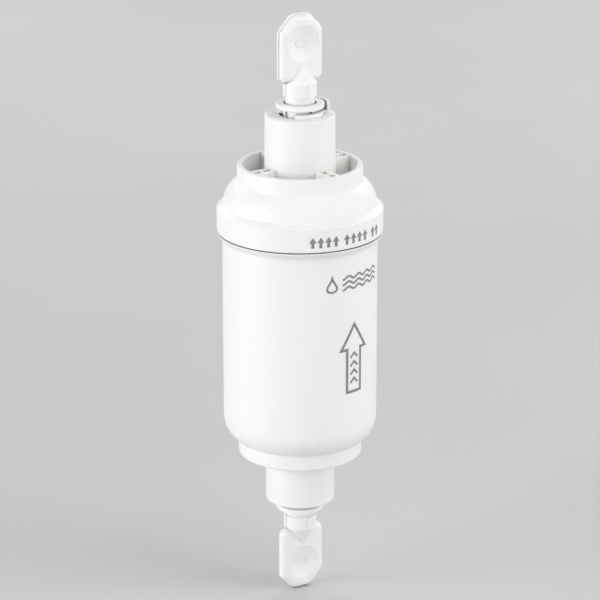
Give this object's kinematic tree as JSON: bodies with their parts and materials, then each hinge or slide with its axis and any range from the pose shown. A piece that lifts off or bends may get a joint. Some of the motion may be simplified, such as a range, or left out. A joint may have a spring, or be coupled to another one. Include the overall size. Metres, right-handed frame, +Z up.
{
  "type": "inline water filter",
  "caption": "Upright white plastic inline water filter: domed cylinder with a carbon cartridge, push-fit tube ports at both ends, locking clips and paddle-handled shipping plugs.",
  "frame": {"origin": "on the filter's axis, half way along the straight cylindrical body", "axes": "+Z up the axis, the way the water flows; the top clip pulls off towards +X"},
  "size_m": [0.0544, 0.0544, 0.1993],
  "materials": {
    "housing_plastic": "satin white moulded polypropylene",
    "fitting_plastic": "satin white acetal",
    "plug_plastic": "satin white polyethylene",
    "spacer_plastic": "dark grey nylon",
    "tooth_steel": "stainless spring steel",
    "seal_rubber": "black nitrile",
    "carbon": "sintered activated carbon, matt black",
    "felt": "white needled polypropylene felt",
    "net_plastic": "white extruded net",
    "cap_plastic": "white moulded polypropylene"
  },
  "bodies": {
    "housing": {"lower_housing": "housing_plastic", "upper_housing": "housing_plastic", "top_port_bushing": "fitting_plastic", "bottom_port_bushing": "fitting_plastic", "top_seal_spacer": "spacer_plastic", "bottom_seal_spacer": "spacer_plastic", "top_tube_o_ring": "seal_rubber", "bottom_tube_o_ring": "seal_rubber", "carbon_block": "carbon", "core_tube": "cap_plastic", "prefilter_wrap": "felt", "outer_netting": "net_plastic", "top_end_cap": "cap_plastic", "bottom_end_cap": "cap_plastic", "spigot_o_rings": "seal_rubber"},
    "top_collet": {"top_collet": "fitting_plastic", "top_collet_teeth": "tooth_steel"},
    "top_clip": {"top_locking_clip": "fitting_plastic"},
    "top_plug": {"top_plug": "plug_plastic"},
    "bottom_collet": {"bottom_collet": "fitting_plastic", "bottom_collet_teeth": "tooth_steel"},
    "bottom_clip": {"bottom_locking_clip": "fitting_plastic"},
    "bottom_plug": {"bottom_plug": "plug_plastic"}
  },
  "joints": [
    {"name": "top_collet_press", "type": "slide", "parent": "housing", "child": "top_collet", "axis": [0, 0, -1], "range_m": [0, 0.001]},
    {"name": "top_clip_pull", "type": "slide", "parent": "housing", "child": "top_clip", "axis": [1, 0, 0], "range_m": [0, 0.022], "deforming": ["top_locking_clip"]},
    {"name": "top_plug_pull", "type": "slide", "parent": "housing", "child": "top_plug", "axis": [0, 0, 1], "range_m": [0, 0.035]},
    {"name": "bottom_collet_press", "type": "slide", "parent": "housing", "child": "bottom_collet", "axis": [0, 0, 1], "range_m": [0, 0.001]},
    {"name": "bottom_clip_pull", "type": "slide", "parent": "housing", "child": "bottom_clip", "axis": [0.6018, 0.7986, 0], "range_m": [0, 0.022], "deforming": ["bottom_locking_clip"]},
    {"name": "bottom_plug_pull", "type": "slide", "parent": "housing", "child": "bottom_plug", "axis": [0, 0, -1], "range_m": [0, 0.035]}
  ]
}
